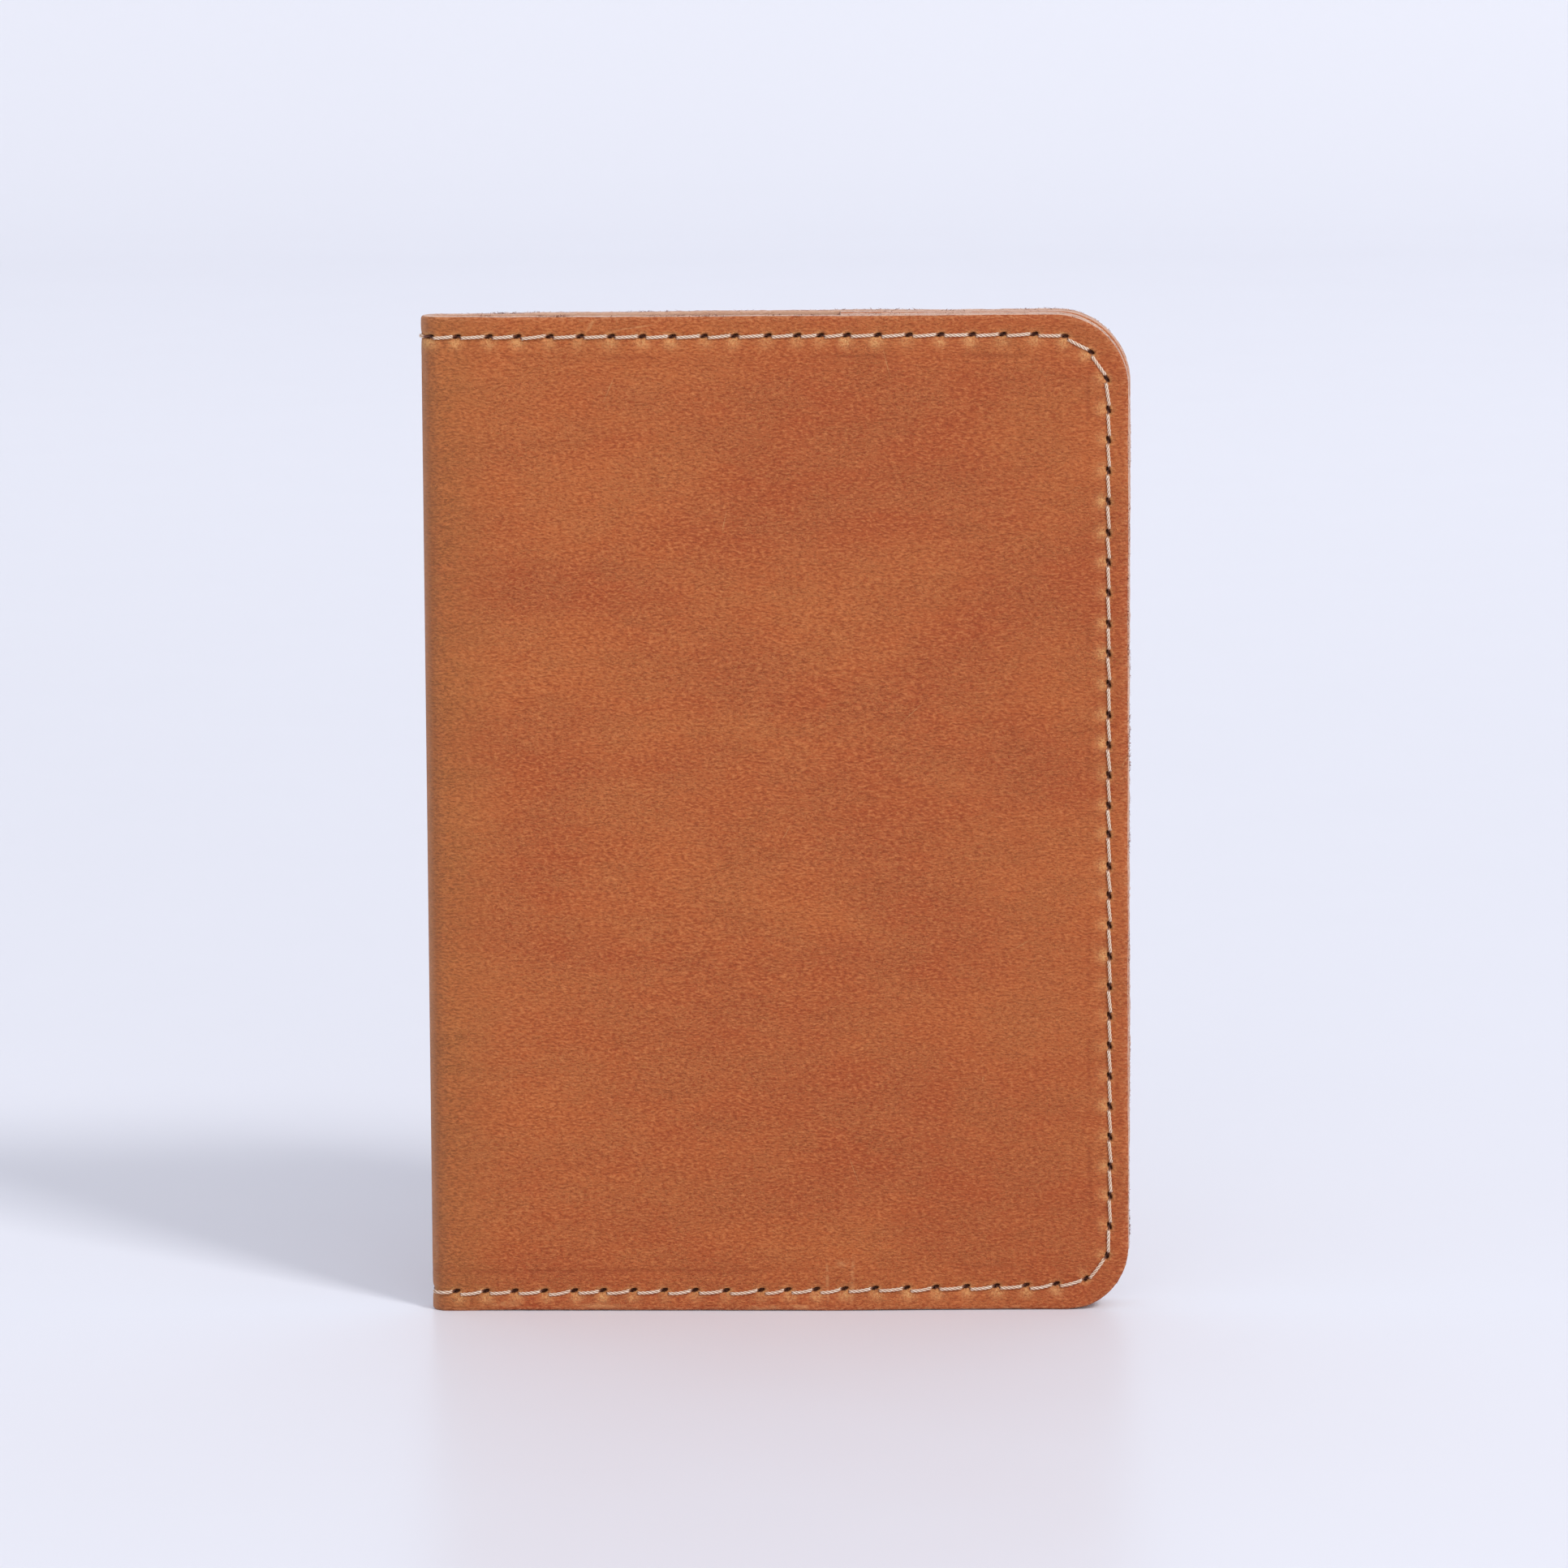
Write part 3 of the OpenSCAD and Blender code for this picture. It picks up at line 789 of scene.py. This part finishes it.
def flesh_side(name):
    """The napped inner face of the leather."""
    m, t, b = material(name)
    tone = tones(
        dark=(196, 146, 118), light=(212, 166, 138), nap=(224, 186, 160), gap=(168, 116, 90),
        fluff=(232, 200, 176), hole=(60, 30, 20),
    )
    vec = flat_coords(t)
    cloud = noise_tex(t, scaled(t, vec, (0.05, 0.07, 0.1)), 1.0, 4.0, 0.6, 0.4)
    nap = noise_tex(t, scaled(t, vec, (1.3, 2.6, 1.0), 0.4), 1.0, 5.0, 0.7, 0.9)
    fluff = noise_tex(t, scaled(t, vec, (5.0, 7.0, 5.0)), 1.0, 3.0, 0.7)
    color = mix(t, remap(t, cloud, 0.35, 0.65), tone["dark"], tone["light"])
    color = mix(t, remap(t, nap, 0.42, 0.7, 0.0, 0.6), color, tone["nap"])
    color = mix(t, remap(t, nap, 0.42, 0.25, 0.0, 0.5), color, tone["gap"])
    color = mix(t, remap(t, fluff, 0.5, 0.75, 0.0, 0.35), color, tone["fluff"])
    # painted shade in the needle holes
    color = mix(t, remap(t, mask(t, "hole"), 0.05, 0.6, 0.0, 0.85), color, tone["hole"])
    h = math_(t, "ADD", times(t, nap, 1.0), times(t, fluff, 0.6))
    surface(t, b, color, remap(t, nap, 0.2, 0.8, 0.82, 0.96, "LINEAR"), 0.15, h, 0.7, 0.00022)
    b.inputs["Sheen Weight"].default_value = 0.4
    b.inputs["Sheen Roughness"].default_value = 0.5
    return m


def thread_material(name):
    """Waxed three-ply thread, with painted shade in the grooves between its plies, where it dives into the
    holes and at each stitch's low end.
    """
    m, t, b = material(name)
    tone = tones(
        shade=(217, 187, 158), light=(243, 229, 212), tanned=(224, 188, 158), groove=(168, 116, 86),
        deep=(98, 50, 33),
    )
    vec, core = flat_coords(t), mask(t, "core")
    hair = noise_tex(t, scaled(t, vec, (2.5, 9.0, 9.0), 0.5), 1.0, 3.0, 0.6)
    slow = noise_tex(t, scaled(t, vec, (0.25, 0.25, 0.3)), 1.0, 2.0)
    color = mix(t, remap(t, hair, 0.3, 0.7), tone["shade"], tone["light"])
    color = mix(t, remap(t, slow, 0.4, 0.65, 0.0, 0.45), color, tone["tanned"])
    # painted shade: the ply grooves, then the thread dark where it dives into the holes and at each stitch's
    # low end
    color = mix(t, remap(t, core, 0.10, 0.42, 0.0, 0.8), color, tone["groove"])
    color = mix(t, remap(t, core, 0.45, 0.95, 0.0, 0.97), color, tone["deep"])
    surface(t, b, color, remap(t, hair, 0.2, 0.8, 0.34, 0.5, "LINEAR"), 0.5, hair, 0.5, 0.00004)
    b.inputs["Sheen Weight"].default_value = 0.15
    return m


def fibre_material(name):
    """Loose fibres on the cut edges, some of them dark."""
    m, t, b = material(name)
    tone = tones(dark=(118, 62, 48), light=(196, 148, 122), dust=(186, 134, 110))
    vec = flat_coords(t)
    pick = noise_tex(t, scaled(t, vec, (0.9, 0.9, 2.0)), 1.0, 2.0)
    fine = noise_tex(t, scaled(t, vec, (8.0, 8.0, 8.0)), 1.0, 2.0)
    color = mix(t, remap(t, pick, 0.5, 0.66), tone["dark"], tone["light"])
    color = mix(t, remap(t, fine, 0.4, 0.7, 0.0, 0.4), color, tone["dust"])
    surface(t, b, color, remap(t, fine, 0.2, 0.8, 0.7, 0.9, "LINEAR"), 0.2, None, 0, 0)
    return m


GRAIN = grain_leather("pull_up_leather", (0, 0, 0), 0.0)
FLAP_GRAIN = grain_leather("pull_up_leather_flap", (310, 140, 0), 0.35)
EDGE = raw_edge("raw_cut_edge")
FLESH = flesh_side("flesh_side")
THREAD = thread_material("twisted_thread")
FIBRE = fibre_material("loose_fibres")

# ---------------------------------------------------------------- the pieces
covers = {"front": Cover(-1, "front_cover", 3), "back": Cover(1, "back_cover", 57)}


def cover_place(c, body):
    """Where a piece lies that runs over the fold: its body, its side and the map from flat leather."""
    return {"body": body, "bends": True, "sign": -c.side, "map": lambda f, c=c: fold_up(f, c.side)}


def flap_map(c):
    """From flat leather to the flap's grain face, which lies parallel to the cover."""
    def place(f):
        u, w, z = f.T
        x = FOLD_X + u - ARC
        return np.stack([x, c.side * (FLAP_IN + w - flap_bow(x, z)), z], 1)
    return place


def flap_place(c, body):
    return {"body": body, "bends": False, "sign": -c.side, "map": flap_map(c)}


def inner_base(x):
    """Distance from the middle plane of the face that the inner stitches lie on."""
    on_cover = outer_y(x) - LEATHER
    ramp = smooth((x - (FLAP_X - 1.6)) / 1.5)
    return on_cover * (1 - ramp) + FLAP_IN * ramp


def inner_map(c):
    """From flat leather to the inner faces, with the height measured off them."""
    def place(f):
        u, w, z = f.T
        a = np.clip(u / BEND, 0, math.pi / 2)
        s = np.maximum(u - ARC, 0.0)
        x0 = FOLD_X + s
        r = R_OUT - LEATHER + w
        x = x0 - np.where(u < ARC, r * np.cos(a), 0)
        on_flap = x0 - FLAP_X + 0.5
        bow = np.where(on_flap > 0, flap_bow(x0, z) * smooth(on_flap), 0)
        y = np.where(u < ARC, r * np.sin(a), inner_base(x0) + w - bow)
        return np.stack([x, c.side * y, z], 1)
    return place


for body, c in covers.items():
    cover_node, flap_node = f"{body}_cover", f"{body}_flap"
    leather = make_solid(f"{body}_cover_leather", c, 0.0, (0.0, 0.0), cover_place(c, body), c.seed * 7,
                         c.side < 0)
    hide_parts(*([cover_node, "spine"] if body == "front" else [cover_node]))
    for mtl in (GRAIN, EDGE, FLESH):
        leather.data.materials.append(mtl)

    hi = box_mm(flap_node)[1]
    grow = (hi[2] - c.z1, hi[0] - box_mm(cover_node)[1][0])
    u_flap = ARC + FLAP_X - FOLD_X
    flap = make_solid(f"{body}_flap_leather", c, u_flap, grow, flap_place(c, body), c.seed * 11, c.side > 0,
                      spacing=1.5)
    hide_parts(flap_node)
    for mtl in (FLAP_GRAIN, EDGE, FLESH):
        flap.data.materials.append(mtl)

    # threads are laid with their height off the face, which is depth the other way round
    place = cover_place(c, body)
    place["map"] = lambda f, c=c: fold_up(f * (1, -1, 1), c.side)
    thread = thread_row(f"{body}_needle_thread", c, place, 1, radius=0.24, proud=0.14, dive=0.7, sag=0.18,
                        strands=26, sides=7, seed=c.seed)
    fold_nodes = ["spine_stitch_top", "spine_stitch_bottom"] if body == "front" else []
    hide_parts(f"{body}_stitches_outside", *fold_nodes)
    thread.data.materials.append(THREAD)

    place = {"body": body, "bends": True, "sign": -c.side, "map": inner_map(c)}
    thread = thread_row(f"{body}_bobbin_thread", c, place, -1, radius=0.2, proud=0.1, dive=0.5, sag=0.03,
                        strands=18, sides=6, seed=c.seed + 5)
    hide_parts(f"{body}_stitches_inside", *[f"{n}_inside" for n in fold_nodes])
    thread.data.materials.append(THREAD)

    for part, u_from, g, pl in (("cover", 0.0, (0.0, 0.0), dict(cover_place(c, body), bends=False)),
                                ("flap", u_flap, grow, flap_place(c, body))):
        loose = fuzz(f"{body}_{part}_fibres", c, u_from, g, pl, FIBRES[part], c.seed + len(part))
        loose.data.materials.append(FIBRE)

# ---------------------------------------------------------------- floor, light, camera
FLOOR_HALF = 2.6  # metres, half the floor's width and its reach towards the camera
CURVE_START, CURVE_R, WALL_TOP = 1.45, 0.35, 2.0  # metres, the backdrop behind the object

profile = [(-FLOOR_HALF, 0.0)]
profile += [(CURVE_START + CURVE_R * math.sin(a), CURVE_R - CURVE_R * math.cos(a))
            for a in np.linspace(0, math.pi / 2, 13)]
profile += [(CURVE_START + CURVE_R, WALL_TOP)]
stage = bpy.data.meshes.new("stage")
stage.from_pydata([(x, y, z) for y, z in profile for x in (-FLOOR_HALF, FLOOR_HALF)], [],
                  [(2 * i, 2 * i + 1, 2 * i + 3, 2 * i + 2) for i in range(len(profile) - 1)])
stage.polygons.foreach_set("use_smooth", [True] * len(stage.polygons))
floor = bpy.data.objects.new("stage", stage)
bpy.context.scene.collection.objects.link(floor)
m, t, b = material("pale_floor")
co = node(t, "ShaderNodeTexCoord").outputs["Object"]
pale = mix(t, noise_tex(t, co, 2.0, 2.0), (0.788, 0.789, 0.842), (0.803, 0.804, 0.856))
# the backdrop is a little paler than the floor near the object, because less of the key light reaches it
back = remap(t, node(t, "ShaderNodeSeparateXYZ", Vector=co).outputs[1], 0.25, 1.1)
matt = remap(t, noise_tex(t, co, 30.0, 2.0), 0.3, 0.7, 0.30, 0.34, "LINEAR")
surface(t, b, mix(t, back, pale, (0.852, 0.853, 0.902)), matt, 0.10, None, 0, 0)
stage.materials.append(m)
floor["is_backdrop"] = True


def area_light(name, at, aim, size, power):
    data = bpy.data.lights.new(name, "AREA")
    data.shape, data.size, data.energy = "SQUARE", size, power
    obj = bpy.data.objects.new(name, data)
    bpy.context.scene.collection.objects.link(obj)
    obj.location = at
    obj.rotation_euler = (Vector(aim) - Vector(at)).to_track_quat("-Z", "Y").to_euler()


def polar(azimuth, elevation, distance):
    """A point seen from the origin: azimuth 0 is in front of the object, and distance is in metres."""
    a, e = math.radians(azimuth), math.radians(elevation)
    return Vector((math.sin(a) * math.cos(e), -math.cos(a) * math.cos(e), math.sin(e))) * distance


area_light("key", polar(42, 42, 5.0), (0, 0, 0.05), 1.0, 122)
area_light("fill", polar(2, 25, 4.0), (0, 0, 0.07), 2.9, 22)

world = bpy.data.worlds.new("world")
bpy.context.scene.world = world
world.use_nodes = True
sky = world.node_tree.nodes["Background"]
sky.inputs["Color"].default_value = (0.87, 0.90, 0.985, 1)
sky.inputs["Strength"].default_value = 0.72

DISTANCE = 1.22  # metres from the camera to the point that it looks at
VIEW_W = 0.2181  # metres, the picture's width at that point
LOOK_DOWN, ROLL = 9.2, 0.33  # degrees
SENSOR = 36
cam_data = bpy.data.cameras.new("camera")
cam_data.sensor_width = SENSOR
cam_data.lens = SENSOR * DISTANCE / VIEW_W
cam_data.clip_end = 20
cam = bpy.data.objects.new("camera", cam_data)
bpy.context.scene.collection.objects.link(cam)
aim = Vector((0.00104, 0, 0.07420))
e = math.radians(LOOK_DOWN)
cam.location = aim + Vector((0, -math.cos(e), math.sin(e))) * DISTANCE
look = (aim - cam.location).to_track_quat("-Z", "Y")
cam.rotation_euler = (look.to_matrix() @ Matrix.Rotation(math.radians(-ROLL), 3, "Z")).to_euler()
bpy.context.scene.camera = cam
bpy.context.scene.view_settings.view_transform = "Standard"

lo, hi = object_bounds()
